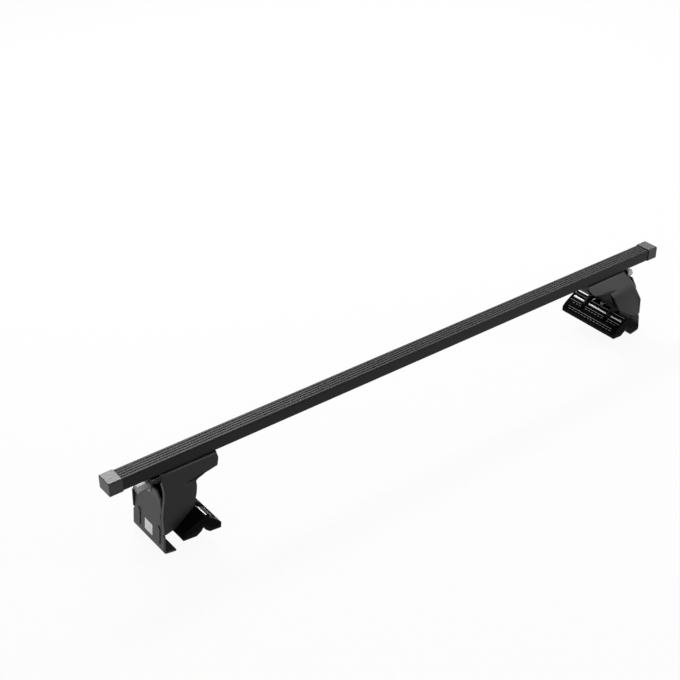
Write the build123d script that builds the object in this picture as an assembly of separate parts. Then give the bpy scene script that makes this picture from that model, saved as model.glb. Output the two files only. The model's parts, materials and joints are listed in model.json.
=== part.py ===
from build123d import *
import math
import os

# Roof rack crossbar: a sleeved steel bar on two clamp feet.
# Millimetres, X along the bar, Z up, the floor under the claws at Z = 0.
# Pieces are drawn with Z measured from the bar's axis and X measured outwards
# from the pad hinge, then moved to their foot.

# Bar
bar_length = 1200.0
sleeve_width = 30.0
sleeve_height = 22.0
sleeve_wall = 1.0
sleeve_top_wall = 1.8
sleeve_corner = 2.4
groove_count = 4
groove_width = 2.2
groove_depth = 0.8
tube_wall = 1.5
tube_corner = 2.0
slot_width = 7.0
sleeve_slot_width = 9.0

# End caps
cap_wall = 1.1
cap_depth = 23.0
cap_end = 3.0
cap_corner = 2.6
cap_edge = 0.8
plug_length = 16.0
plug_wall = 2.0
plug_rib_height = 0.3
plug_rib_count = 2
plug_rib_width = 1.2

# Place and travel of the feet
foot_inset = 134.0
foot_travel_in = 90.0
foot_travel_out = 10.0
slot_end_clearance = 1.0

# Moulded cover, half widths and depths below the bar's underside
cover_wall = 2.5
cover_web = 2.5
cover_top_half_width = 16.5
cover_knee_half_width = 37.5
cover_knee_drop = 27.0
cover_hip_half_width = 44.0
cover_hip_drop = 56.0
cover_foot_half_width = 47.0
cover_drop = 88.5
cover_top_inboard = -53.0
cover_top_outboard = 46.0
cover_reach = 68.5
cover_lobe_drop = 17.0
cover_lobe_corner = 7.0
cover_lobe_outboard = -6.0
cover_waist = 2.0
cover_waist_drop = 43.0
cover_skirt_inboard = 10.0
cover_skirt_drop = 61.0
cover_toe = 45.5
cover_toe_drop = 84.5
cover_heel_inset = 6.0
cover_corner = 4.5
cover_corner_steps = 4
cover_knee_round = 8.0
cover_opening_inset = 3.2
cover_outline_round = 5.0

# Folded steel bracket
bracket_thickness = 3.0
bracket_web_half_width = 11.0
bracket_cheek_half_width = 30.5
bracket_shoulder_drop = 21.0
bracket_bend = 5.0
bracket_inboard = -48.0
bracket_outboard = 44.0
bracket_nose = 53.0
bracket_nose_drop = 62.0
bracket_chin = 44.0
bracket_chin_below_hinge = 6.5
bracket_arm = 18.0
bracket_arm_above_hinge = 3.5
bracket_neck = 4.0
bracket_neck_low = 16.0
bracket_neck_high = 28.0
bracket_belly = -6.0
bracket_belly_below_stud = 4.0
bracket_tail_slope = 6.0
bracket_tail_drop = 20.0
eye_radius = 8.5

# Bolts between foot and bar
bar_bolt_radius = 3.0
bar_bolt_inboard = -36.0
bar_bolt_outboard = 14.0
bar_bolt_flats = 10.0
bar_bolt_head = 4.0
nut_plate_thickness = 4.0
nut_plate_width = 22.0
nut_plate_overhang = 12.0

# Clamp stud, its tapped block, nut and washer
clamp_drop = 32.0
stud_radius = 4.0
stud_tail = 3.0
block_station = 31.0
block_length = 14.0
block_width = 16.0
block_below_stud = 8.0
block_edge = 1.0
clamp_washer_radius = 10.5
clamp_washer = 1.6
clamp_nut_flats = 13.0
clamp_nut_length = 18.0
stud_recess = 0.5

# Claw plate
claw_thickness = 3.0
claw_face = 62.4
claw_top_drop = 16.0
claw_lean_drop = 46.0
claw_foot_reach = 70.5
claw_hook_drop = 139.5
claw_heel_drop = 133.0
claw_hook_length = 22.0
claw_bend = 4.5
claw_lean_bend = 30.0
claw_half_width = 46.5
claw_shoulder_drop = 27.0
claw_tongue_half_width = 13.0
claw_tongue_round = 6.0
claw_corner = 4.0
claw_bead_station = 30.0
claw_bead_width = 10.0
claw_bead_height = 1.2
claw_bead_top_drop = 92.0
claw_bead_bottom_drop = 126.0

# Pad carrier, measured from its hinge
hinge_drop = 86.0
pad_half_length = 67.5
pad_barrel_radius = 5.5
pad_barrel_half_length = 64.0
pad_inboard = -25.0
pad_outboard = 43.5
pad_bottom = -26.0
pad_apex = 5.0
pad_apex_height = 7.0
pad_toe_top = -16.0
pad_slope_foot = 7.0
pad_slope_foot_height = -9.0
pad_heel_top = -15.5
pad_heel_chamfer = 3.0
pad_deck = 12.0
pad_deck_height = 9.0
pad_deck_end = 40.0
pad_deck_end_height = -8.0
pad_deck_half_length = 21.0
pad_notch = 7.5
pad_notch_reach = 4.0
pad_notch_height = 12.5
pad_notch_shoulder = 6.0
pad_sole_thickness = 5.0
pad_slot_width = 9.0
pad_slot_reach = 16.0
pad_slot_depth = 9.5
pad_slot_toe = 4.0
pad_rib_half_length = 57.0
pad_rib = 2.0
pad_pocket_depth = 1.4
pad_pocket_width = 4.6
pad_pocket_length = 13.0
pad_bay = 50.0
pad_tab_count = 6
pad_tab_pitch = 20.0
pad_tab_length = 10.0
pad_tab_height = 2.4
pad_tab_depth = 4.0
pad_tilt_left = 6.0
pad_tilt_right = -2.0
rod_radius = 3.0
rod_half_length = 62.0
sole_screw_radius = 2.0
sole_screw_station = 11.0
sole_screw_seat = 7.2
sole_screw_tip = -12.0
sole_screw_head_radius = 4.5
sole_screw_head = 3.0

# Clearances
slide_gap = 0.1
running_gap = 0.08
thread_gap = 0.05
bolt_hole_gap = 0.3
cap_gap = 0.05
cover_side_gap = 0.8

# Derived sizes
axis_height = claw_hook_drop
hinge_station = bar_length / 2 - foot_inset
slot_near = hinge_station + bar_bolt_inboard - foot_travel_in - bar_bolt_radius - slot_end_clearance
slot_far = hinge_station + bar_bolt_outboard + foot_travel_out + bar_bolt_radius + slot_end_clearance
slot_middle = (slot_near + slot_far) / 2
slot_length = slot_far - slot_near
bar_underside = -sleeve_height / 2
tube_width = sleeve_width - 2 * sleeve_wall
tube_height = sleeve_height - sleeve_wall - sleeve_top_wall
tube_centre = (sleeve_wall - sleeve_top_wall) / 2
tube_floor = bar_underside + sleeve_wall + tube_wall
tube_half_length = bar_length / 2 - cap_end
bore_width = tube_width - 2 * tube_wall
bore_height = tube_height - 2 * tube_wall
cover_top = bar_underside - slide_gap
web_underside = cover_top - cover_web
bracket_seat = web_underside
bracket_underside = bracket_seat - bracket_thickness
clamp_height = -clamp_drop
hinge_height = -hinge_drop
cheek_mid = bracket_cheek_half_width - bracket_thickness / 2


# Solid between two X values whose section in the YZ plane is given
def along_bar(section, start, end):
    return extrude(Plane.YZ.offset(start) * section, amount=end - start)


# Solid of an XZ outline, equally deep on both sides of the XZ plane
def across_bar(outline, half_width):
    return extrude(Plane.XZ * outline, amount=half_width, both=True)


# Upright cylinder between two heights
def upright(x, y, bottom, top, radius):
    return extrude(Pos(x, y, bottom) * Circle(radius), amount=top - bottom)


# Cylinder along X between two stations
def lengthwise(y, z, start, end, radius):
    return along_bar(Pos(y, z) * Circle(radius), start, end)


# Cylinder along Y, centred on the XZ plane
def crosswise(x, z, half_length, radius):
    return across_bar(Pos(x, z) * Circle(radius), half_length)


# Outline through a few corners, each rounded by its own radius or left sharp by 0
def rounded_outline(corners, radii):
    outline = make_face(Polyline(*corners, close=True))
    for corner, radius in zip(corners, radii):
        if radius > 0:
            outline = fillet(outline.vertices().sort_by_distance(corner)[0], radius)
    return outline


# Bar tube, with a slot under each foot for its bolts
def bar_tube():
    outer = Pos(0, tube_centre) * RectangleRounded(tube_width, tube_height, tube_corner)
    bore = Pos(0, tube_centre) * Rectangle(bore_width, bore_height)
    tube = along_bar(outer - bore, -tube_half_length, tube_half_length)
    for side in (-1, 1):
        outline = SlotOverall(slot_length, slot_width)
        tube -= Pos(side * slot_middle, 0, -sleeve_height) * slot_cutter(outline)
    return tube


# Cutter of a given outline through the bar's underside
def slot_cutter(outline):
    return extrude(outline, amount=sleeve_height + tube_floor)


# Plastic sleeve over the tube, with lengthwise ribs on its top face
def bar_sleeve():
    outer = RectangleRounded(sleeve_width, sleeve_height, sleeve_corner)
    core = Pos(0, tube_centre) * RectangleRounded(tube_width, tube_height, tube_corner)
    section = outer - core
    pitch = (sleeve_width - 2 * sleeve_corner + groove_width) / (groove_count + 1)
    for index in range(groove_count):
        y = (index - (groove_count - 1) / 2) * pitch
        section -= Pos(y, sleeve_height / 2) * Rectangle(groove_width, 2 * groove_depth)
    sleeve = along_bar(section, -tube_half_length, tube_half_length)
    for side in (-1, 1):
        outline = Rectangle(slot_length, sleeve_slot_width)
        sleeve -= Pos(side * slot_middle, 0, -sleeve_height) * slot_cutter(outline)
    return sleeve


# End cap for the +X end: a cup over the sleeve with a ribbed plug in the tube
def end_cap():
    end = bar_length / 2
    lip = end - cap_depth
    floor = end - cap_end
    width = sleeve_width + 2 * cap_wall
    height = sleeve_height + 2 * cap_wall
    cup = along_bar(RectangleRounded(width, height, cap_corner), lip, end)
    cup = chamfer(cup.faces().sort_by(Axis.X)[-1].edges(), cap_edge)
    room = RectangleRounded(sleeve_width + 2 * cap_gap, sleeve_height + 2 * cap_gap, sleeve_corner + cap_gap)
    cup -= along_bar(room, lip, floor)
    plug_width = bore_width - 2 * plug_rib_height - 2 * cap_gap
    plug_height = bore_height - 2 * plug_rib_height - 2 * cap_gap
    wall = Rectangle(plug_width, plug_height)
    hollow = Rectangle(plug_width - 2 * plug_wall, plug_height - 2 * plug_wall)
    plug = along_bar(Pos(0, tube_centre) * (wall - hollow), floor - plug_length, floor)
    rib = Rectangle(bore_width - 2 * cap_gap, bore_height - 2 * cap_gap)
    for index in range(plug_rib_count):
        start = floor - plug_length * (index + 1) / (plug_rib_count + 1)
        plug += along_bar(Pos(0, tube_centre) * (rib - hollow), start, start + plug_rib_width)
    return cup + plug


# Half width of the cover's outside at a drop below the bar's underside
def cover_half_width(drop):
    knots = [
        (cover_web, cover_top_half_width),
        (cover_knee_drop, cover_knee_half_width),
        (cover_hip_drop, cover_hip_half_width),
        (cover_drop, cover_foot_half_width),
    ]
    if drop <= cover_web:
        return cover_top_half_width
    for (drop_a, half_a), (drop_b, half_b) in zip(knots, knots[1:]):
        if drop <= drop_b:
            return half_a + (half_b - half_a) * (drop - drop_a) / (drop_b - drop_a)
    return half_b + (half_b - half_a) * (drop - drop_b) / (drop_b - drop_a)


# Half width with the knee rounded over
def smooth_half_width(drop):
    near = cover_knee_drop - cover_knee_round
    far = cover_knee_drop + cover_knee_round
    if drop <= near or drop >= far:
        return cover_half_width(drop)
    share = (drop - near) / (far - near)
    ends = (1 - share) ** 2 * cover_half_width(near) + share ** 2 * cover_half_width(far)
    return ends + 2 * share * (1 - share) * cover_knee_half_width


# How far the cover's outboard edge stands from the hinge at a drop
def cover_outboard(drop):
    share = min(drop / cover_hip_drop, 1.0)
    return cover_top_outboard + (cover_reach - cover_top_outboard) * share


# Plan of the cover at one height, its outboard corners turned in even steps
def cover_plan(rear, front, half, corner):
    turns = [math.radians(90 * step / cover_corner_steps) for step in range(cover_corner_steps + 1)]
    near = [(front - corner * (1 - math.sin(turn)), half - corner * (1 - math.cos(turn))) for turn in turns]
    far = [(x, -y) for x, y in reversed(near)]
    return make_face(Polyline((rear, half), *near, *far, (rear, -half), close=True))


# Body that follows the cover's widths, drawn in by an inset
def cover_form(inset, top_drop, bottom_drop, extra_reach):
    knee = [cover_knee_drop - cover_knee_round, cover_knee_drop, cover_knee_drop + cover_knee_round]
    drops = [top_drop] + [cover_web] * (top_drop < cover_web) + knee + [cover_hip_drop, bottom_drop]
    rear = cover_top_inboard - 4 * cover_corner
    sections = []
    for drop in drops:
        half = smooth_half_width(drop) - inset
        front = cover_outboard(drop) - inset + extra_reach
        corner = cover_corner - min(inset, cover_wall)
        sections.append(Pos(0, 0, cover_top - drop) * cover_plan(rear, front, half, corner))
    return loft(sections, ruled=True)


# Side view of the cover: saddle lobe, waist and skirt over the pad
def cover_side_outline():
    foot = cover_top - cover_drop
    beyond = 2 * cover_reach
    corners = [
        (cover_top_inboard, cover_top + cover_wall),
        (beyond, cover_top + cover_wall),
        (beyond, foot),
        (cover_reach - cover_heel_inset, foot),
        (cover_toe, cover_top - cover_toe_drop),
        (cover_skirt_inboard, cover_top - cover_skirt_drop),
        (cover_waist, cover_top - cover_waist_drop),
        (cover_lobe_outboard, cover_top - cover_lobe_drop),
        (cover_top_inboard + cover_lobe_corner, cover_top - cover_lobe_drop),
        (cover_top_inboard, cover_top - cover_lobe_drop / 2),
    ]
    turn = cover_outline_round
    return rounded_outline(corners, [0, 0, 0, 0, 0, turn, 2 * turn, turn, turn, turn])


# Moulded cover shell, open downwards and towards the claw, with a window for both bolts
def foot_cover():
    below = cover_drop + cover_wall
    shell = cover_form(0.0, 0.0, below, 0.0)
    shell &= across_bar(cover_side_outline(), 2 * cover_foot_half_width)
    shell -= cover_form(cover_wall, cover_web, below + cover_wall, 0.0)
    shell -= cover_form(cover_opening_inset, cover_web, below + cover_wall, cover_reach)
    reach = bar_bolt_radius + bolt_hole_gap
    length = bar_bolt_outboard - bar_bolt_inboard + 2 * reach
    window = Pos((bar_bolt_inboard + bar_bolt_outboard) / 2, 0, web_underside) * Rectangle(length, 2 * reach)
    return shell - extrude(window, amount=cover_web)


# Section of the bracket: a web with slanted shoulders and upright cheeks
def bracket_section():
    t = bracket_thickness / 2
    web = bracket_seat - t
    shoulder = bracket_seat - bracket_shoulder_drop
    foot = hinge_height - 2 * eye_radius
    points = [
        (-cheek_mid, foot),
        (-cheek_mid, shoulder),
        (-bracket_web_half_width, web),
        (bracket_web_half_width, web),
        (cheek_mid, shoulder),
        (cheek_mid, foot),
    ]
    return trace(FilletPolyline(*points, radius=bracket_bend), line_width=bracket_thickness)


# Side view of the bracket's cheeks, with an eye for the hinge rod
def bracket_side_outline():
    corners = [
        (bracket_inboard, bracket_seat + bracket_thickness),
        (bracket_outboard, bracket_seat + bracket_thickness),
        (bracket_chin, clamp_height + bracket_thickness),
        (bracket_nose, -bracket_nose_drop),
        (bracket_chin, hinge_height - bracket_chin_below_hinge),
        (bracket_arm, hinge_height + bracket_arm_above_hinge),
        (eye_radius, hinge_height + bracket_arm_above_hinge),
        (eye_radius, hinge_height),
        (-eye_radius, hinge_height),
        (-eye_radius, hinge_height + bracket_arm_above_hinge),
        (bracket_neck, hinge_height + bracket_neck_low),
        (bracket_neck, hinge_height + bracket_neck_high),
        (bracket_belly, clamp_height - bracket_belly_below_stud),
        (bracket_inboard + bracket_tail_slope, bracket_seat - bracket_tail_drop + bracket_tail_slope),
        (bracket_inboard, bracket_seat - bracket_tail_drop + 2 * bracket_tail_slope),
    ]
    turn = 2 * bracket_bend
    radii = [0, 0, turn, turn, 0, 0, 0, 0, 0, 0, 0, turn, turn, 0, 0]
    return rounded_outline(corners, radii)


# Folded bracket that carries the bar, the stud's block and the pad
def foot_bracket():
    sheet = along_bar(bracket_section(), bracket_inboard, bracket_nose)
    outline = bracket_side_outline() + Pos(0, hinge_height) * Circle(eye_radius)
    bracket = sheet & across_bar(outline, 2 * bracket_cheek_half_width)
    bracket -= crosswise(0, hinge_height, 2 * bracket_cheek_half_width, rod_radius + running_gap)
    for x in (bar_bolt_inboard, bar_bolt_outboard):
        bracket -= upright(x, 0, bracket_underside, bracket_seat, bar_bolt_radius + bolt_hole_gap)
    return bracket


# Nut plate that slides in the tube, tapped for the two bolts
def nut_plate():
    bottom = tube_floor + slide_gap
    length = bar_bolt_outboard - bar_bolt_inboard + 2 * nut_plate_overhang
    middle = (bar_bolt_outboard + bar_bolt_inboard) / 2
    outline = Pos(middle, 0, bottom) * Rectangle(length, nut_plate_width)
    plate = extrude(outline, amount=nut_plate_thickness)
    for x in (bar_bolt_inboard, bar_bolt_outboard):
        plate -= upright(x, 0, bottom, bottom + nut_plate_thickness, bar_bolt_radius + thread_gap)
    return plate


# Hexagon bolts that clamp the foot to the nut plate
def bar_bolts():
    tip = tube_floor + slide_gap + nut_plate_thickness
    bottom = bracket_underside - bar_bolt_head
    bolts = []
    for x in (bar_bolt_inboard, bar_bolt_outboard):
        hexagon = Pos(x, 0, bottom) * RegularPolygon(bar_bolt_flats / 2, 6, major_radius=False)
        bolts.append(extrude(hexagon, amount=bar_bolt_head) + upright(x, 0, bottom, tip, bar_bolt_radius))
    return Compound(children=bolts)


# Steel block welded under the web, tapped for the clamp stud
def stud_block():
    bottom = clamp_height - block_below_stud
    height = bracket_underside - bottom
    outline = Pos(block_station, 0, bottom) * Rectangle(block_length, block_width)
    block = extrude(outline, amount=height)
    block = chamfer(block.edges().filter_by(Axis.Z), block_edge)
    reach = block_length
    hole = lengthwise(0, clamp_height, block_station - reach, block_station + reach, stud_radius + thread_gap)
    return block - hole


# Outer end of the clamp stud, just inside the nut
def stud_outer_end():
    return claw_face + clamp_washer + slide_gap + clamp_nut_length - stud_recess


# Threaded stud from its block out through the claw plate
def clamp_stud():
    inner_end = block_station - block_length / 2 - stud_tail
    return lengthwise(0, clamp_height, inner_end, stud_outer_end(), stud_radius)


# Washer between the claw plate and the clamp nut
def clamp_washer_ring():
    start = claw_face
    ring = lengthwise(0, clamp_height, start, start + clamp_washer, clamp_washer_radius)
    return ring - lengthwise(0, clamp_height, start, start + clamp_washer, stud_radius + running_gap)


# Long hexagon nut
def clamp_nut():
    start = claw_face + clamp_washer + slide_gap
    end = start + clamp_nut_length
    hexagon = Pos(0, clamp_height) * RegularPolygon(clamp_nut_flats / 2, 6, major_radius=False)
    prism = along_bar(hexagon, start, end)
    return prism - lengthwise(0, clamp_height, start, end, stud_radius + running_gap)


# Side view of the claw sheet: upright tongue, leaning plate and hooked lip
def claw_section():
    half = claw_thickness / 2
    points = [
        (claw_face - half, -claw_top_drop),
        (claw_face - half, -claw_lean_drop),
        (claw_foot_reach - half, -claw_heel_drop - half),
        (claw_foot_reach - claw_hook_length, -claw_hook_drop + half),
    ]
    return trace(FilletPolyline(*points, radius=[claw_lean_bend, claw_bend]), line_width=claw_thickness)


# Half width of the claw plate where it stands inside the cover
def claw_half_inside(drop):
    return cover_half_width(drop + bar_underside) - cover_opening_inset - cover_side_gap


# Front view of the claw plate
def claw_front_outline():
    skirt = cover_drop - bar_underside + cover_side_gap
    hip = cover_hip_drop - bar_underside
    knee = cover_knee_drop - bar_underside + claw_thickness
    right = [
        (claw_tongue_half_width, -claw_top_drop),
        (claw_tongue_half_width, -claw_shoulder_drop),
        (claw_half_inside(claw_shoulder_drop), -claw_shoulder_drop),
        (claw_half_inside(knee), -knee),
        (claw_half_inside(hip), -hip),
        (claw_half_inside(skirt), -skirt),
        (claw_half_width, -skirt - claw_corner),
        (claw_half_width, -claw_hook_drop - claw_corner),
    ]
    left = [(-y, z) for y, z in reversed(right)]
    radii = [claw_tongue_round, 0, 0, claw_corner, claw_corner, 0, 0, 0]
    return rounded_outline(right + left, radii + radii[::-1])


# Pressed bead on the leaning plate, from the sheet's middle out to a depth, or the hollow behind it
def claw_bead(y, width, depth):
    lean = (claw_foot_reach - claw_face) / (claw_heel_drop - claw_lean_drop)
    middle = (claw_bead_top_drop + claw_bead_bottom_drop) / 2
    length = claw_bead_bottom_drop - claw_bead_top_drop - claw_bead_width + width
    x = claw_face + lean * (middle - claw_lean_drop) - claw_thickness / 2
    plane = Plane(origin=(x, y, -middle), x_dir=(0, 1, 0), z_dir=(1, 0, lean))
    outline = chamfer(Rectangle(width, length).vertices(), width / 3)
    return extrude(plane * outline, amount=depth)


# Claw plate with its hook, beads and stud hole
def claw_plate():
    plate = across_bar(claw_section(), 2 * claw_half_width)
    plate &= along_bar(claw_front_outline(), 0.0, 2 * claw_foot_reach)
    half = claw_thickness / 2
    hollow_width = claw_bead_width - 2 * claw_bead_height
    for y in (-claw_bead_station, claw_bead_station):
        plate += claw_bead(y, claw_bead_width, half + claw_bead_height)
        plate -= claw_bead(y, hollow_width, claw_bead_height - half)
        plate -= claw_bead(y, hollow_width, -claw_thickness)
    reach = 2 * claw_thickness
    hole = lengthwise(0, clamp_height, claw_face - reach, claw_face + reach, stud_radius + running_gap)
    return plate - hole


# Lower edge of the hard carrier, where the rubber sole meets it
def carrier_underside():
    flat = pad_bottom + pad_sole_thickness
    notch = pad_bottom + pad_notch_height + pad_sole_thickness
    return [
        (pad_outboard, flat),
        (pad_notch + 2 * pad_notch_reach, flat + pad_notch_shoulder),
        (pad_notch, notch),
        (pad_notch - 2 * pad_notch_reach, flat + pad_notch_shoulder),
        (pad_notch - 4 * pad_notch_reach, flat),
        (pad_inboard, flat),
    ]


# End view of the hard pad carrier, hinge at the origin
def carrier_outline():
    top = [
        (pad_inboard, pad_toe_top),
        (pad_inboard + pad_slope_foot, pad_slope_foot_height),
        (-pad_barrel_radius, 0.0),
        (pad_apex, pad_apex_height),
        (pad_outboard - pad_heel_chamfer, pad_heel_top + pad_heel_chamfer),
        (pad_outboard, pad_heel_top),
    ]
    return make_face(Polyline(*top, *carrier_underside(), close=True))


# End view of the raised deck round the screw, between the arms
def deck_outline():
    corners = [
        (pad_apex, pad_apex_height),
        (pad_deck, pad_deck_height),
        (pad_deck_end, pad_deck_end_height),
        (pad_deck_end, pad_heel_top),
        (pad_apex, 0.0),
    ]
    return make_face(Polyline(*corners, close=True))


# End view of the rubber sole with its notch
def sole_outline():
    bottom = [
        (pad_inboard, pad_bottom),
        (pad_notch - 3 * pad_notch_reach, pad_bottom),
        (pad_notch - pad_notch_reach, pad_bottom + pad_notch_shoulder),
        (pad_notch, pad_bottom + pad_notch_height),
        (pad_notch + pad_notch_reach, pad_bottom + pad_notch_shoulder),
        (pad_notch + 3 * pad_notch_reach, pad_bottom),
        (pad_outboard, pad_bottom),
    ]
    return make_face(Polyline(*bottom, *carrier_underside(), close=True))


# Turn a pad piece about its hinge and lift it to the hinge height
def hung(piece, tilt):
    return Pos(0, 0, hinge_height) * Rot(0, -tilt, 0) * piece


# Hard carrier with hinge barrels, arm slots, rib, pockets and tab windows
def pad_carrier():
    carrier = across_bar(carrier_outline(), pad_half_length)
    carrier += crosswise(0, 0, pad_barrel_half_length, pad_barrel_radius)
    carrier += across_bar(deck_outline(), pad_deck_half_length)
    rib = Rectangle(pad_rib, pad_rib, rotation=45)
    rib_place = Pos(pad_inboard + pad_slope_foot, pad_slope_foot_height)
    carrier += across_bar(rib_place * rib, pad_rib_half_length)
    for y in (-cheek_mid, cheek_mid):
        carrier -= arm_slot(y)
    carrier -= crosswise(0, 0, rod_half_length, rod_radius + thread_gap)
    for pocket in slope_pockets():
        carrier -= pocket
    for window in sole_tabs(thread_gap):
        carrier -= window
    top = sole_screw_seat + sole_screw_head
    carrier -= upright(sole_screw_station, 0, sole_screw_seat, top, sole_screw_head_radius + bolt_hole_gap)
    carrier -= upright(sole_screw_station, 0, pad_bottom, top, sole_screw_radius + thread_gap)
    return carrier


# Slot that lets one bracket arm reach the rod through the pad's tilt
def arm_slot(y):
    corners = [
        (-pad_slot_reach, pad_slot_reach),
        (-pad_slot_reach, -pad_slot_depth),
        (pad_slot_toe, -pad_slot_depth),
        (pad_slot_depth, -pad_slot_toe),
        (pad_slot_depth, 0.0),
        (pad_slot_reach, 0.0),
        (pad_slot_reach, pad_slot_reach),
    ]
    outline = make_face(Polyline(*corners, close=True))
    return extrude(Plane.XZ.offset(-y) * outline, amount=pad_slot_width / 2, both=True)


# Shallow moulded pockets on the inboard slope, two in each hinge bay
def slope_pockets():
    slope_foot = pad_inboard + pad_slope_foot
    angle = math.degrees(math.atan2(-pad_slope_foot_height, -pad_barrel_radius - slope_foot))
    middle = (slope_foot - pad_barrel_radius) / 2
    pitch = pad_pocket_length + pad_pocket_width
    pockets = []
    for bay in (-pad_bay, 0.0, pad_bay):
        for step in (-0.5, 0.5):
            block = Box(pad_pocket_width, pad_pocket_length, 2 * pad_pocket_depth)
            place = Pos(middle, bay + step * pitch, pad_slope_foot_height / 2)
            pockets.append(place * Rot(0, -angle, 0) * block)
    return pockets


# Rubber tabs of the sole that lock through windows in the carrier's inboard side
def sole_tabs(gap):
    tabs = []
    for index in range(pad_tab_count):
        y = (index - (pad_tab_count - 1) / 2) * pad_tab_pitch
        length = pad_tab_length + 2 * gap
        height = pad_tab_height + 2 * gap
        tab = Box(pad_tab_depth + gap, length, height, align=(Align.MIN, Align.CENTER, Align.MIN))
        tabs.append(Pos(pad_inboard, y, pad_bottom + pad_sole_thickness - gap) * tab)
    return tabs


# Rubber sole under the carrier
def pad_sole():
    sole = across_bar(sole_outline(), pad_half_length)
    for tab in sole_tabs(0.0):
        sole += tab
    return sole - upright(sole_screw_station, 0, sole_screw_tip, 0, sole_screw_radius + thread_gap)


# Hinge rod through the barrels and the bracket's eyes
def hinge_rod():
    return crosswise(0, 0, rod_half_length, rod_radius)


# Round head screw that holds the sole's middle to the carrier
def sole_screw():
    x = sole_screw_station
    top = sole_screw_seat + sole_screw_head
    head = upright(x, 0, sole_screw_seat, top, sole_screw_head_radius)
    return head + upright(x, 0, sole_screw_tip, top, sole_screw_radius)


# All pieces of a right-hand foot, drawn about its own hinge station
def foot_pieces(tilt):
    return {
        "foot_cover": foot_cover(),
        "foot_bracket": foot_bracket(),
        "nut_plate": nut_plate(),
        "bar_bolts": bar_bolts(),
        "stud_block": stud_block(),
        "clamp_stud": clamp_stud(),
        "claw_plate": claw_plate(),
        "clamp_washer": clamp_washer_ring(),
        "clamp_nut": clamp_nut(),
        "pad_carrier": hung(pad_carrier(), tilt),
        "pad_sole": hung(pad_sole(), tilt),
        "hinge_rod": hung(hinge_rod(), tilt),
        "sole_screw": hung(sole_screw(), tilt),
    }


# Write one node, lifted so that the claws stand on the floor
def write_node(name, shape):
    export_step(Pos(0, 0, axis_height) * shape, "parts/" + name + ".step")


os.makedirs("parts", exist_ok=True)
write_node("bar_tube", bar_tube())
write_node("bar_sleeve", bar_sleeve())
right_cap = end_cap()
write_node("end_cap_right", right_cap)
write_node("end_cap_left", mirror(right_cap, about=Plane.YZ))
for name, piece in foot_pieces(pad_tilt_right).items():
    write_node(name + "_right", Pos(hinge_station, 0, 0) * piece)
for name, piece in foot_pieces(pad_tilt_left).items():
    write_node(name + "_left", mirror(Pos(hinge_station, 0, 0) * piece, about=Plane.YZ))
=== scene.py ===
import json
import math

import bmesh
import bpy
from mathutils import Matrix, Vector


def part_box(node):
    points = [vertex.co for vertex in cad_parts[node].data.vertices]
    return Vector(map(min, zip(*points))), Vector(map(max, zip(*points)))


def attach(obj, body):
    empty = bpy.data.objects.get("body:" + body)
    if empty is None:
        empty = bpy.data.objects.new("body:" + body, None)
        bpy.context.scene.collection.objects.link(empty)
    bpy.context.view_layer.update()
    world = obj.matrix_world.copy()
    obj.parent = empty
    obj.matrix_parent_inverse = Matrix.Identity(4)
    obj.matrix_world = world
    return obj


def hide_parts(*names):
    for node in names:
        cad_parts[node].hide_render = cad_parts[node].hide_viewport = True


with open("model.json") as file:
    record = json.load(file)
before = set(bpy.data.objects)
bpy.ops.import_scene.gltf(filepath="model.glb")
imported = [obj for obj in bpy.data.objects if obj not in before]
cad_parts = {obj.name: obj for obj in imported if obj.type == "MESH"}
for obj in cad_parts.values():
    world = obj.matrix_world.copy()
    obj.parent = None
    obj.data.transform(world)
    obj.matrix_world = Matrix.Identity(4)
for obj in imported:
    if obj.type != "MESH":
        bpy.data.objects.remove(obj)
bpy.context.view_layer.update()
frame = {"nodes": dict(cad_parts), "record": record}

# Camera. It stands above the bar's left end and in front of it, and looks along the bar
# towards the right end, so the left foot is the nearer one. Its angles are in degrees.
camera_place = (-1.2670, -1.4642, 1.3868)
camera_heading, camera_dip, camera_roll = -37.14, 32.31, -0.40


def put(name, data):
    """An object of some data, linked into the scene."""
    thing = bpy.data.objects.new(name, data)
    bpy.context.scene.collection.objects.link(thing)
    return thing


photo_camera = bpy.data.cameras.new("photo_camera")
photo_camera.sensor_width = 36.0
photo_camera.lens = 70.977
photo_camera.clip_end = 60.0
camera_stand = put("camera_stand", photo_camera)
camera_stand.matrix_world = (
    Matrix.Translation(camera_place)
    @ Matrix.Rotation(math.radians(camera_heading), 4, "Z")
    @ Matrix.Rotation(math.radians(90.0 - camera_dip), 4, "X")
    @ Matrix.Rotation(math.radians(camera_roll), 4, "Z")
)
bpy.context.scene.camera = camera_stand
bpy.context.scene.view_settings.view_transform = "Standard"


# Studio. A pale floor under the claws and a white room around it, lit by the room itself, by
# two long strip lamps behind and above the bar, and by two soft boxes at its ends.
class Wire:
    """One output of a node. Python's arithmetic on it adds Math nodes to its tree."""

    def __init__(self, maker, socket):
        self.maker = maker
        self.socket = socket

    def math(self, operation, a, b):
        return self.maker.node("ShaderNodeMath", {"operation": operation}, {0: a, 1: b})

    def __add__(self, other):
        return self.math("ADD", self, other)

    def __radd__(self, other):
        return self.math("ADD", other, self)

    def __sub__(self, other):
        return self.math("SUBTRACT", self, other)

    def __rsub__(self, other):
        return self.math("SUBTRACT", other, self)

    def __mul__(self, other):
        return self.math("MULTIPLY", self, other)

    def __rmul__(self, other):
        return self.math("MULTIPLY", other, self)

    def __truediv__(self, other):
        return self.math("DIVIDE", self, other)

    def __rtruediv__(self, other):
        return self.math("DIVIDE", other, self)

    def larger(self, other):
        return self.math("MAXIMUM", self, other)


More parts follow.
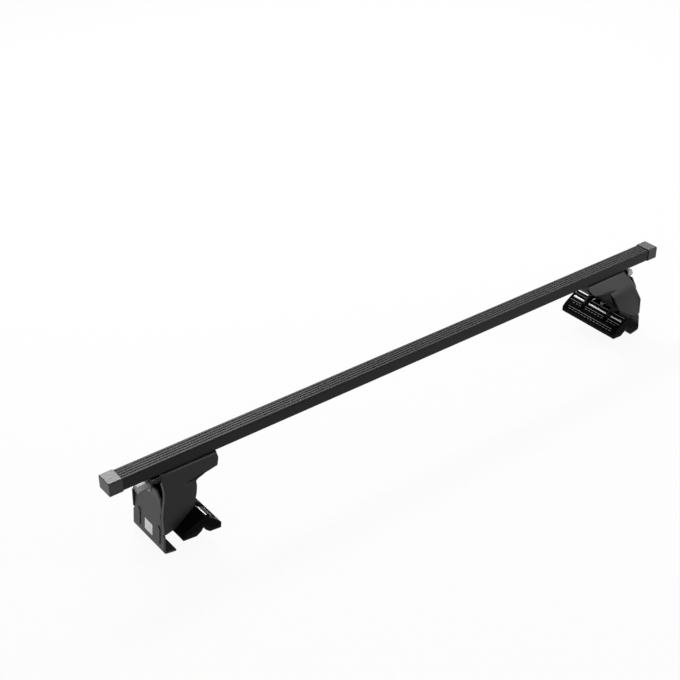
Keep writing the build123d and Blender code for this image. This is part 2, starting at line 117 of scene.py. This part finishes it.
class Maker:
    """A node tree, and the one way in which its nodes are made."""

    def __init__(self, tree):
        self.tree = tree
        self.tree.nodes.clear()

    def node(self, kind, settings=None, sockets=None, out=0):
        """Adds a node: its settings first, then a value, a wire or a list of wires by socket."""
        made = self.tree.nodes.new(kind)
        for key, value in (settings or {}).items():
            setattr(made, key, value)
        for key, value in (sockets or {}).items():
            entry = made.inputs[key]
            for one in value if isinstance(value, list) else [value]:
                if isinstance(one, Wire):
                    self.tree.links.new(one.socket, entry)
                elif entry.type == "RGBA":
                    entry.default_value = (*one, 1.0)
                else:
                    entry.default_value = one
        return Wire(self, made.outputs[out]) if made.outputs else None


class Finish(Maker):
    """The nodes of a material, or of the room."""

    def __init__(self, owner):
        owner.use_nodes = True
        super().__init__(owner.node_tree)
        self.owner = owner

    def shown(self):
        """1 for what the camera sees directly, in a mirror or through glass."""
        seen = self.node("ShaderNodeLightPath", out="Is Camera Ray")
        mirrored = self.node("ShaderNodeLightPath", out="Is Glossy Ray")
        through = self.node("ShaderNodeLightPath", out="Is Transmission Ray")
        return seen.larger(mirrored).larger(through)

    def noise(self, scale, detail=3.0, stretch=(1.0, 1.0, 1.0)):
        """Noise from 0 to 1 on the piece's own coordinates."""
        spot = self.node("ShaderNodeTexCoord", out="Object")
        placed = self.node("ShaderNodeMapping", {}, {"Vector": spot, "Scale": stretch})
        texture = {"Vector": placed, "Scale": scale, "Detail": detail}
        return self.node("ShaderNodeTexNoise", {}, texture)

    def tint(self, share, dark, pale):
        """A colour between a dark one, where the share is 0, and a pale one."""
        colours = {0: share, 6: dark, 7: pale}
        return self.node("ShaderNodeMix", {"data_type": "RGBA"}, colours, out=2)

    def bump(self, height, distance):
        """The normal of a surface that rises by a distance where the height is 1."""
        return self.node("ShaderNodeBump", {}, {"Height": height, "Distance": distance})

    def surface(self, **sockets):
        """The material's shader. Each socket is named with _ for its spaces."""
        named = {key.replace("_", " "): value for key, value in sockets.items()}
        shader = self.node("ShaderNodeBsdfPrincipled", {}, named)
        self.node("ShaderNodeOutputMaterial", {}, {"Surface": shader})


# The camera sees the floor mostly by its own glow, and the rest is grey paint that takes the
# shadows. It lies just under the claws' lips.
white = (1.0, 1.0, 1.0)
reach, floor_gap = 15.0, 0.0002
floor_finish = Finish(bpy.data.materials.new("pale_floor"))
floor_paint = floor_finish.node("ShaderNodeBsdfDiffuse", {}, {"Color": (0.86, 0.86, 0.86)})
floor_glow = floor_finish.node("ShaderNodeEmission", {}, {"Color": white, "Strength": 1.0})
floor_share = floor_finish.shown() * 0.93
floor_mix = floor_finish.node(
    "ShaderNodeMixShader", {}, {0: floor_share, 1: floor_paint, 2: floor_glow}
)
floor_finish.node("ShaderNodeOutputMaterial", {}, {"Surface": floor_mix})

floor_mesh = bpy.data.meshes.new("studio_floor")
floor_corners = [(-reach, -reach, 0), (reach, -reach, 0), (reach, reach, 0), (-reach, reach, 0)]
floor_mesh.from_pydata(floor_corners, [], [(0, 1, 2, 3)])
floor_mesh.materials.append(floor_finish.owner)
studio_floor = put("studio_floor", floor_mesh)
studio_floor.location.z = -floor_gap

# The room shines with less light than the camera sees in it.
room_light = 0.42
room = Finish(bpy.data.worlds.new("white_room"))
room_strength = room.shown() * (1.0 - room_light) + room_light
room_shader = room.node("ShaderNodeBackground", {}, {"Color": white, "Strength": room_strength})
room.node("ShaderNodeOutputWorld", {}, {"Surface": room_shader})
bpy.context.scene.world = room.owner


def soft_lamp(name, place, target, size, brightness):
    """A rectangular lamp aimed at a point. Its power grows with its area."""
    lamp = bpy.data.lights.new(name, "AREA")
    lamp.shape = "RECTANGLE"
    lamp.size, lamp.size_y = size
    lamp.energy = brightness * size[0] * size[1] * math.pi
    stand = put(name, lamp)
    stand.location = place
    stand.rotation_euler = (Vector(target) - Vector(place)).to_track_quat("-Z", "Y").to_euler()


soft_lamp(
    "near_strip", place=(0.3, 1.8, 1.68), target=(-0.3, 0.0, 0.1), size=(1.2, 0.26), brightness=33.0
)
soft_lamp(
    "far_strip", place=(1.85, 1.8, 1.68), target=(0.2, 0.0, 0.1), size=(1.9, 0.26), brightness=12.0
)
soft_lamp(
    "right_box", place=(1.95, -1.35, 1.25), target=(0.45, 0.0, 0.1), size=(0.7, 0.7), brightness=8.0
)
soft_lamp(
    "left_box", place=(-2.4, -1.05, 0.3), target=(-0.5, 0.0, 0.1), size=(0.3, 0.5), brightness=6.0
)


# Bar tube. A drawn rectangular steel tube, galvanised, with a slot under each foot that the
# foot's bolts reach through. It shows only inside the slots.
def dress(node, finish):
    """Give a node that is kept as the CAD made it its finish."""
    frame["nodes"][node].material_slots[0].material = finish.owner


galvanised = Finish(bpy.data.materials.new("galvanised_steel"))
spangle_spot = galvanised.node("ShaderNodeTexCoord", out="Object")
spangle = galvanised.node(
    "ShaderNodeTexVoronoi", {}, {"Vector": spangle_spot, "Scale": 260.0}, out="Color"
)
spangle_tone = galvanised.node("ShaderNodeRGBToBW", {}, {"Color": spangle})
galvanised.surface(
    Base_Color=galvanised.tint(spangle_tone, (0.36, 0.37, 0.38), (0.52, 0.53, 0.54)),
    Metallic=1.0,
    Roughness=spangle_tone * 0.2 + 0.35,
)
dress("bar_tube", galvanised)


# Sleeve. Black plastic extruded over the tube, with flat ribs along its top face. Its edges
# are eased by the die, and it carries the fine lengthwise lines that the die leaves.
body_of_node = {
    node: body
    for body, nodes in frame["record"]["behaviour"]["bodies"].items()
    for node in nodes
}


def bare_copy(node):
    """A node's mesh with its doubles merged and its flat faces whole again."""
    same_point, thin_face, flat = 2e-6, 1e-6, math.radians(0.4)
    source = frame["nodes"][node].data
    form = bmesh.new()
    corners = [form.verts.new(vertex.co) for vertex in source.vertices]
    form.verts.ensure_lookup_table()
    for polygon in source.polygons:
        form.faces.new([corners[i] for i in polygon.vertices])
    bmesh.ops.remove_doubles(form, verts=form.verts, dist=same_point)
    bmesh.ops.dissolve_degenerate(form, edges=form.edges, dist=thin_face)
    bmesh.ops.dissolve_limit(form, angle_limit=flat, verts=form.verts, edges=form.edges)
    mesh = bpy.data.meshes.new(node + "_finished")
    form.to_mesh(mesh)
    form.free()
    return mesh


def belong(piece, node):
    """Let a piece move with a node's body."""
    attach(piece, body_of_node[node])


def carry(piece, node):
    """Let a finished piece stand for a node."""
    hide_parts(node)
    belong(piece, node)


def rounded(name, mesh, finish, edge, segments=2):
    """A piece made of a mesh, with its sharp edges rounded over by a small radius."""
    sharp = math.radians(32.0)
    mesh.shade_smooth()
    mesh.materials.clear()
    mesh.materials.append(finish.owner)
    piece = put(name, mesh)
    rounding = piece.modifiers.new("eased_edges", "BEVEL")
    rounding.width = edge
    rounding.segments = segments
    rounding.limit_method = "ANGLE"
    rounding.angle_limit = sharp
    rounding.harden_normals = True
    return piece


def eased(node, finish, edge, segments=2):
    """A node again, with its edges rounded over."""
    carry(rounded(node + "_finished", bare_copy(node), finish, edge, segments), node)


sleeve_skin = Finish(bpy.data.materials.new("sleeve_plastic"))
die_lines = sleeve_skin.noise(900.0, detail=2.0, stretch=(0.02, 1.0, 1.0))
scuffs = sleeve_skin.noise(38.0, detail=5.0, stretch=(0.5, 1.0, 1.0))
sleeve_skin.surface(
    Base_Color=sleeve_skin.tint(scuffs, (0.004, 0.004, 0.0043), (0.0075, 0.0075, 0.008)),
    Roughness=scuffs * 0.08 + 0.37,
    Specular_IOR_Level=0.14,
    Normal=sleeve_skin.bump(die_lines, distance=0.0000015),
)
eased("bar_sleeve", sleeve_skin, edge=0.00025)


# End caps. Moulded dark grey cups pushed over the sleeve's ends, with a fine spark-eroded
# texture that makes them paler than the sleeve.
sides = {"left": -1.0, "right": 1.0}
cap_skin = Finish(bpy.data.materials.new("cap_plastic"))
cap_grain = cap_skin.noise(2600.0, detail=2.0)
cap_cloud = cap_skin.noise(60.0)
cap_skin.surface(
    Base_Color=cap_skin.tint(cap_cloud, (0.019, 0.019, 0.020), (0.027, 0.027, 0.0285)),
    Roughness=cap_grain * 0.03 + 0.28,
    Specular_IOR_Level=0.25,
    Normal=cap_skin.bump(cap_grain, distance=0.000002),
)
for side in sides:
    dress("end_cap_" + side, cap_skin)


# Foot covers. Satin black shells moulded in nylon, one over each foot, with a saddle under
# the bar, a lobe inboard and a skirt on both sides of the claw. A thin apron closes the lobe
# from below, and pale beads along the edges by the claw and under the bar are painted highlight.
cover_skin = Finish(bpy.data.materials.new("cover_plastic"))
cover_grain = cover_skin.noise(1900.0, detail=2.0)
cover_flow = cover_skin.noise(16.0, detail=4.0)
cover_skin.surface(
    Base_Color=cover_skin.tint(cover_flow, (0.013, 0.013, 0.014), (0.019, 0.019, 0.020)),
    Roughness=cover_flow * 0.08 + cover_grain * 0.06 + 0.34,
    Specular_IOR_Level=0.22,
    Normal=cover_skin.bump(cover_grain, distance=0.00001),
)
# Painted highlight: a pale grey for the beads on the cover's edges, standing in for light on
# rounded edges, in patches.
painted_edge_highlight = Finish(bpy.data.materials.new("painted_edge_highlight"))
highlight_patches = painted_edge_highlight.noise(70.0)
painted_edge_highlight.surface(
    Base_Color=painted_edge_highlight.tint(highlight_patches, (0.075, 0.075, 0.076), (0.14, 0.14, 0.142)),
    Roughness=highlight_patches * 0.1 + 0.3,
    Specular_IOR_Level=0.3,
)


def ramp(value, start, end):
    """0 at start, 1 at end, and straight between them."""
    return min(max((value - start) / (end - start), 0.0), 1.0)


def bent_wall(line, thickness, hand):
    """A wall along a line of (x, height, half width), thick inwards, mirrored for the left."""
    form = bmesh.new()
    rings = []
    for i, (x, z, half) in enumerate(line):
        before, after = line[max(i - 1, 0)], line[min(i + 1, len(line) - 1)]
        along = Vector((after[0] - before[0], 0.0, after[1] - before[1])).normalized()
        inner = Vector((x, 0.0, z)) + Vector((-along.z, 0.0, along.x)) * thickness
        outer_edge = ((x, -half, z), (x, half, z))
        inner_edge = ((inner.x, half, inner.z), (inner.x, -half, inner.z))
        rings.append([form.verts.new((hand * a, b, c)) for a, b, c in outer_edge + inner_edge])
    for first, second in zip(rings, rings[1:]):
        for k in range(4):
            form.faces.new((first[k], first[(k + 1) % 4], second[(k + 1) % 4], second[k]))
    form.faces.new(rings[0])
    form.faces.new(rings[-1])
    bmesh.ops.recalc_face_normals(form, faces=form.faces)
    mesh = bpy.data.meshes.new("bent_wall")
    form.to_mesh(mesh)
    form.free()
    return mesh


class Recipe(Maker):
    """A Geometry Nodes tree with named inputs."""

    def __init__(self, name, inputs):
        super().__init__(bpy.data.node_groups.new(name, "GeometryNodeTree"))
        face = self.tree.interface
        for label, kind in inputs.items():
            face.new_socket(label, in_out="INPUT", socket_type="NodeSocket" + kind)
        face.new_socket("Geometry", in_out="OUTPUT", socket_type="NodeSocketGeometry")

    def given(self, label):
        """The wire of a named input."""
        return self.node("NodeGroupInput", out=label)

    def end(self, shape, material):
        """Makes the shape real, gives it its material and hands it out."""
        real = self.node("GeometryNodeRealizeInstances", {}, {"Geometry": shape})
        coat = {"Geometry": real, "Material": material}
        coated = self.node("GeometryNodeSetMaterial", {}, coat)
        self.node("NodeGroupOutput", {}, {0: coated})


def formed(name, recipe, values, runs=(), place=Matrix()):
    """A piece that a recipe makes, along runs of points if it follows any, laid by a matrix."""
    points, edges = [], []
    for run in runs:
        first = len(points)
        points += run
        edges += [(i, i + 1) for i in range(first, len(points) - 1)]
    lines = bpy.data.meshes.new(name)
    lines.from_pydata(points, edges, [])
    piece = put(name, lines)
    forming = piece.modifiers.new("recipe", "NODES")
    forming.node_group = recipe.tree
    for entry in recipe.tree.interface.items_tree:
        if entry.in_out == "INPUT" and entry.name in values:
            forming[entry.identifier] = values[entry.name]
    bpy.context.view_layer.update()
    evaluated = piece.evaluated_get(bpy.context.evaluated_depsgraph_get())
    mesh = bpy.data.meshes.new_from_object(evaluated)
    piece.modifiers.remove(forming)
    mesh.transform(place)
    piece.data = mesh
    return piece


# Every bead is a round wire of a given radius along a line.
bead = Recipe("round_bead", {"Geometry": "Geometry", "Radius": "Float", "Skin": "Material"})
bead_line = bead.node("GeometryNodeMeshToCurve", {}, {"Mesh": bead.given("Geometry")})
bead_ring = bead.node(
    "GeometryNodeCurvePrimitiveCircle", {}, {"Resolution": 12, "Radius": bead.given("Radius")}
)
bead_sweep = {"Curve": bead_line, "Profile Curve": bead_ring, "Fill Caps": True}
bead.end(bead.node("GeometryNodeCurveToMesh", {}, bead_sweep), bead.given("Skin"))

# The lobe is drawn down near its outboard corner. Each pair says where there is none of the
# pull and where there is all of it, in x and then in height.
lobe_pull = 0.007
pull_from_inboard, pull_from_outboard = (0.424, 0.460), (0.471, 0.461)
pull_from_top, pull_from_foot = (0.1225, 0.1110), (0.0840, 0.1100)

# The apron under the lobe, from its inboard end to the pad: x, height, half width.
apron_thickness = 0.002
apron_line = (
    (0.4130, 0.1255, 0.0140),
    (0.4128, 0.1160, 0.0170),
    (0.4170, 0.1090, 0.0200),
    (0.4565, 0.1060, 0.0225),
    (0.4655, 0.0855, 0.0255),
    (0.4770, 0.0663, 0.0255),
)

# The painted-highlight beads down the skirt's edge by the claw, and along the saddle's top: x, y,
# height.
rim_radius, shoulder_radius = 0.0015, 0.0008
rim_line = (
    (0.5163, 0.0204, 0.1177),
    (0.5183, 0.0290, 0.1094),
    (0.5212, 0.0346, 0.1014),
    (0.5245, 0.0378, 0.0934),
    (0.5280, 0.0404, 0.0845),
    (0.5326, 0.0444, 0.0724),
    (0.5330, 0.0453, 0.0420),
)
shoulder_line = ((0.5100, 0.0158, 0.1258), (0.4145, 0.0172, 0.1258))

for side, hand in sides.items():
    cover = "foot_cover_" + side
    shell = bare_copy(cover)
    for vertex in shell.vertices:
        x, z = hand * vertex.co.x, vertex.co.z
        share = ramp(x, *pull_from_inboard) * ramp(x, *pull_from_outboard)
        share *= ramp(z, *pull_from_top) * ramp(z, *pull_from_foot)
        vertex.co.z -= lobe_pull * share
    carry(rounded("foot_cover_finished_" + side, shell, cover_skin, edge=0.0011, segments=3), cover)

    apron = bent_wall(apron_line, apron_thickness, hand)
    belong(rounded("cover_apron_" + side, apron, cover_skin, edge=0.0009, segments=3), cover)

    # Pale beads with painted highlight down the claw-side edge and along the saddle's top.
    for name, line, radius in (
        ("cover_rim_", rim_line, rim_radius),
        ("cover_shoulder_", shoulder_line, shoulder_radius),
    ):
        runs = [[(hand * x, flank * y, z) for x, y, z in line] for flank in (-1.0, 1.0)]
        highlight_bead = formed(name + side, bead, {"Radius": radius, "Skin": painted_edge_highlight.owner}, runs)
        belong(highlight_bead, cover)


# Brackets, with the tapped blocks welded under them. Folded 3 mm steel in black dip paint,
# which carries the pad between two arms.
dip_paint = Finish(bpy.data.materials.new("bracket_paint"))
paint_peel = dip_paint.noise(420.0)
dip_paint.surface(
    Base_Color=dip_paint.tint(paint_peel, (0.006, 0.006, 0.0065), (0.010, 0.010, 0.011)),
    Roughness=paint_peel * 0.15 + 0.38,
    Specular_IOR_Level=0.12,
    Normal=dip_paint.bump(paint_peel, distance=0.00002),
)
for side in sides:
    eased("foot_bracket_" + side, dip_paint, edge=0.0004)
    dress("stud_block_" + side, dip_paint)


# Fasteners. Zinc-plated steel: the nut plates and bolts that hold a foot to the bar, the round
# screw that holds the sole, the clamp stud with its rolled thread, and the long hexagon nut
# and washer outside the claw.
zinc = Finish(bpy.data.materials.new("zinc_plate"))
zinc_cloud = zinc.noise(140.0, detail=4.0)
zinc_turning = zinc.noise(1500.0, detail=2.0, stretch=(1.0, 0.06, 0.06))
zinc.surface(
    Base_Color=zinc.tint(zinc_cloud, (0.21, 0.22, 0.225), (0.33, 0.325, 0.315)),
    Metallic=1.0,
    Roughness=zinc_cloud * 0.12 + zinc_turning * 0.1 + 0.46,
    Normal=zinc.bump(zinc_turning, distance=0.00002),
)
for side in sides:
    dress("nut_plate_" + side, zinc)
    dress("bar_bolts_" + side, zinc)
    eased("sole_screw_" + side, zinc, edge=0.0009, segments=3)
    eased("clamp_nut_" + side, zinc, edge=0.0003)
    eased("clamp_washer_" + side, zinc, edge=0.0002)

# A threaded rod along X: a core down to the thread's root, and a ridge of four sides wound
# round it that stops one turn short of each end. The depth is a metric thread's share of its
# pitch, and the ridge is sunk a little into the core.
thread = Recipe(
    "rolled_thread", {"Radius": "Float", "Pitch": "Float", "Length": "Float", "Steel": "Material"}
)
pitch, rod_length = thread.given("Pitch"), thread.given("Length")
rod_radius = thread.given("Radius")
depth = pitch * 0.54
wound = rod_length - pitch * 2.0
ridge_path = rod_radius - depth * 0.62
helix_sizes = {
    "Resolution": 24,
    "Rotations": wound / pitch,
    "Start Radius": ridge_path,
    "End Radius": ridge_path,
    "Height": wound,
}
helix = thread.node("GeometryNodeCurveSpiral", {}, helix_sizes)
helix = thread.node("GeometryNodeSetCurveNormal", {"mode": "Z_UP"}, {"Curve": helix})
section_size = thread.node("ShaderNodeCombineXYZ", {}, {0: depth * 0.6, 1: pitch * 0.46, 2: 1.0})
section = thread.node("GeometryNodeCurvePrimitiveCircle", {}, {"Resolution": 4})
section = thread.node("GeometryNodeTransform", {}, {"Geometry": section, "Scale": section_size})
winding_sweep = {"Curve": helix, "Profile Curve": section, "Fill Caps": True}
winding = thread.node("GeometryNodeCurveToMesh", {}, winding_sweep)
half_down = thread.node("ShaderNodeCombineXYZ", {}, {2: wound * -0.5})
winding = thread.node(
    "GeometryNodeTransform", {}, {"Geometry": winding, "Translation": half_down}
)
core_sizes = {"Vertices": 32, "Radius": rod_radius - depth, "Depth": rod_length}
core = thread.node("GeometryNodeMeshCylinder", {}, core_sizes)
upright = thread.node("GeometryNodeJoinGeometry", {}, {0: [core, winding]})
quarter_turn = (0.0, math.pi / 2, 0.0)
laid = thread.node("GeometryNodeTransform", {}, {"Geometry": upright, "Rotation": quarter_turn})
thread.end(laid, thread.given("Steel"))

stud_radius, stud_pitch = 0.0039, 0.00125
for side in sides:
    low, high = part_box("clamp_stud_" + side)
    values = {"Radius": stud_radius, "Pitch": stud_pitch, "Length": high[0] - low[0]}
    values["Steel"] = zinc.owner
    middle = Matrix.Translation((Vector(low) + Vector(high)) / 2)
    stud = formed("clamp_stud_thread_" + side, thread, values, place=middle)
    carry(stud, "clamp_stud_" + side)


# Claw plates. Pressed 3 mm steel with two beads and a turned-in lip, in dark grey powder
# coat. The left one carries a small blank label.
powder = Finish(bpy.data.materials.new("claw_paint"))
powder_peel = powder.noise(700.0)
powder_cloud = powder.noise(26.0, detail=4.0)
powder.surface(
    Base_Color=powder.tint(powder_cloud, (0.017, 0.017, 0.018), (0.026, 0.026, 0.027)),
    Roughness=powder_peel * 0.14 + 0.34,
    Specular_IOR_Level=0.3,
    Normal=powder.bump(powder_peel, distance=0.00002),
)
for side in sides:
    eased("claw_plate_" + side, powder, edge=0.0010, segments=3)

label_paper = Finish(bpy.data.materials.new("label_paper"))
paper_fibre = label_paper.noise(1200.0, detail=4.0)
label_paper.surface(
    Base_Color=label_paper.tint(paper_fibre, (0.90, 0.90, 0.90), (0.95, 0.95, 0.94)),
    Roughness=paper_fibre * 0.1 + 0.4,
    Normal=label_paper.bump(paper_fibre, distance=0.00002),
)


def label_plate(name, width, height, corner, thickness, finish):
    """A thin plate on the XY plane, its corners rounded off with four points each."""
    across, up = width / 2 - corner, height / 2 - corner
    middles = ((across, up), (-across, up), (-across, -up), (across, -up))
    outline = []
    for turn in range(16):
        x, y = middles[turn // 4]
        angle = math.radians(22.5 * turn)
        outline.append((x + corner * math.cos(angle), y + corner * math.sin(angle)))
    count = len(outline)
    points = [(x, y, z) for z in (0.0, thickness) for x, y in outline]
    back, front = tuple(reversed(range(count))), tuple(range(count, 2 * count))
    rim = [(i, (i + 1) % count, count + (i + 1) % count, count + i) for i in range(count)]
    mesh = bpy.data.meshes.new(name)
    mesh.from_pydata(points, [], [back, front, *rim])
    mesh.materials.append(finish.owner)
    return put(name, mesh)


# The label lies on the claw's outer face, which leans inwards at the top.
label_middle = (-0.53438, -0.0005, 0.0286)
claw_lean = math.atan(0.0915)
label = label_plate(
    "claw_label", width=0.023, height=0.0205, corner=0.0012, thickness=0.00015, finish=label_paper
)
label.data.transform(
    Matrix.Translation(label_middle)
    @ Matrix.Rotation(claw_lean, 4, "Y")
    @ Matrix.Rotation(-math.pi / 2, 4, "Z")
    @ Matrix.Rotation(math.pi / 2, 4, "X")
)
belong(label, "claw_plate_left")


# Pads. A gloss black carrier with a round ridge for the hinge rod, slotted for the bracket's
# arms, and under it a rubber sole that keys in through windows along its inboard side. The
# bright rod shows in an open channel along the ridge.
gloss = Finish(bpy.data.materials.new("pad_plastic"))
gloss_ripple = gloss.noise(90.0)
gloss.surface(
    Base_Color=gloss.tint(gloss_ripple, (0.0025, 0.0025, 0.0025), (0.0045, 0.0045, 0.0045)),
    Roughness=gloss_ripple * 0.06 + 0.18,
    Specular_IOR_Level=0.012,
    Normal=gloss.bump(gloss_ripple, distance=0.00001),
)
# Painted highlight: the pale grey on the crests of the pad's fine lines stands in for glints of
# light on black ribs.
glint_crest = Finish(bpy.data.materials.new("glint_crest_paint"))
glint_patches = glint_crest.noise(60.0)
glint_crest.surface(
    Base_Color=glint_crest.tint(glint_patches, (0.10, 0.10, 0.10), (0.42, 0.42, 0.42)),
    Roughness=glint_patches * 0.1 + 0.25,
)
rubber = Finish(bpy.data.materials.new("pad_rubber"))
rubber_grain = rubber.noise(1500.0)
rubber.surface(
    Base_Color=rubber.tint(rubber_grain, (0.003, 0.003, 0.003), (0.006, 0.006, 0.006)),
    Roughness=rubber_grain * 0.15 + 0.5,
    Specular_IOR_Level=0.04,
    Normal=rubber.bump(rubber_grain, distance=0.00002),
)
bright_rod = Finish(bpy.data.materials.new("rod_steel"))
rod_turning = bright_rod.noise(700.0, detail=2.0, stretch=(0.1, 1.0, 0.1))
bright_rod.surface(
    Base_Color=bright_rod.tint(rod_turning, (0.5, 0.5, 0.5), (0.6, 0.6, 0.6)),
    Metallic=1.0,
    Roughness=rod_turning * 0.1 + 0.2,
)


def blocks(boxes, hand, place):
    """Boxes given by their ranges in x, y and z, mirrored for the left, laid by a matrix."""
    form = bmesh.new()
    for box in boxes:
        middle = Vector([(low + high) / 2 for low, high in box])
        middle.x *= hand
        size = [high - low for low, high in box]
        shape = Matrix.Translation(middle) @ Matrix.Diagonal((*size, 1.0))
        bmesh.ops.create_cube(form, size=1.0, matrix=place @ shape)
    mesh = bpy.data.meshes.new("blocks")
    form.to_mesh(mesh)
    form.free()
    return mesh


def without(mesh, cut_away):
    """A mesh with other closed meshes cut out of it."""
    blank, cutter = put("blank", mesh), put("cutter", cut_away)
    cut = blank.modifiers.new("cut", "BOOLEAN")
    cut.object = cutter
    cut.operation = "DIFFERENCE"
    cut.solver = "EXACT"
    bpy.context.view_layer.update()
    evaluated = blank.evaluated_get(bpy.context.evaluated_depsgraph_get())
    result = bpy.data.meshes.new_from_object(evaluated)
    bpy.data.objects.remove(blank)
    bpy.data.objects.remove(cutter)
    return result


# Where the pads hang, and their tilt at rest in degrees, outboard side up where positive.
hinge_reach, hinge_height = 0.466, 0.0535
pad_tilt = {"left": 6.0, "right": -2.0}

# All sizes from here are counted from the hinge: x outboard, y along the pad, z upwards. The
# bracket's arms divide the pad into three bays.
pad_end, slot_far, slot_near = 0.0635, 0.034, 0.024
far_bay = (slot_far, pad_end)
bays = ((-pad_end, -slot_far), (-slot_near, slot_near), far_bay)
channel_x, channel_z = (-0.007, 0.0028), (0.0004, 0.008)
ridge_x, ridge_z = (0.0040, 0.0084), (0.0055, 0.0108)

# The two low walls along the sides of the deck, which slopes down outboard. They are counted
# from where it starts.
deck_start, deck_slope = (0.012, 0.009), math.atan2(0.017, 0.028)
wall_x, wall_z = (0.002, 0.0315), (-0.0015, 0.0026)
wall_ys = ((-0.0208, -0.0186), (0.0186, 0.0208))

# The fine moulded lines on the ridge and down the inboard slope, with a painted highlight on
# their crests: x, z, and the stretches along y. One row of dashes leaves out the slots.
line_radius = 0.00045
dashes = [(0.008 * n, 0.008 * n + 0.005) for n in range(-7, 7)]
bay_dashes = [dash for dash in dashes if not slot_near < abs(sum(dash) / 2) < slot_far]
pad_lines = (
    (-0.0203, -0.0112, [(-0.056, 0.056)]),
    (0.0040, 0.0065, bays),
    (-0.0092, -0.0024, bays),
    (-0.0128, -0.0050, bay_dashes),
    (-0.0232, -0.0141, dashes),
)

for side, hand in sides.items():
    node = "pad_carrier_" + side
    hinge = Matrix.Translation((hand * hinge_reach, 0.0, hinge_height))
    pad_place = hinge @ Matrix.Rotation(math.radians(-hand * pad_tilt[side]), 4, "Y")
    channel = blocks([(channel_x, bay, channel_z) for bay in bays], hand, pad_place)
    carrier = without(bare_copy(node), channel)
    carry(rounded("pad_carrier_finished_" + side, carrier, gloss, edge=0.0005, segments=3), node)

    ridge = blocks([(ridge_x, far_bay, ridge_z)], hand, pad_place)
    belong(rounded("pad_ridge_" + side, ridge, gloss, edge=0.0018, segments=4), node)

    deck_top = pad_place @ Matrix.Translation((hand * deck_start[0], 0.0, deck_start[1]))
    deck_place = deck_top @ Matrix.Rotation(hand * deck_slope, 4, "Y")
    walls = blocks([(wall_x, wall_y, wall_z) for wall_y in wall_ys], hand, deck_place)
    belong(rounded("pad_deck_rim_" + side, walls, gloss, edge=0.0007), node)

    runs = [
        [pad_place @ Vector((hand * x, y, z)) for y in stretch]
        for x, z, stretches in pad_lines
        for stretch in stretches
    ]
    lines = formed("pad_lines_" + side, bead, {"Radius": line_radius, "Skin": glint_crest.owner}, runs)
    belong(lines, node)

    eased("pad_sole_" + side, rubber, edge=0.0006)
    dress("hinge_rod_" + side, bright_rod)
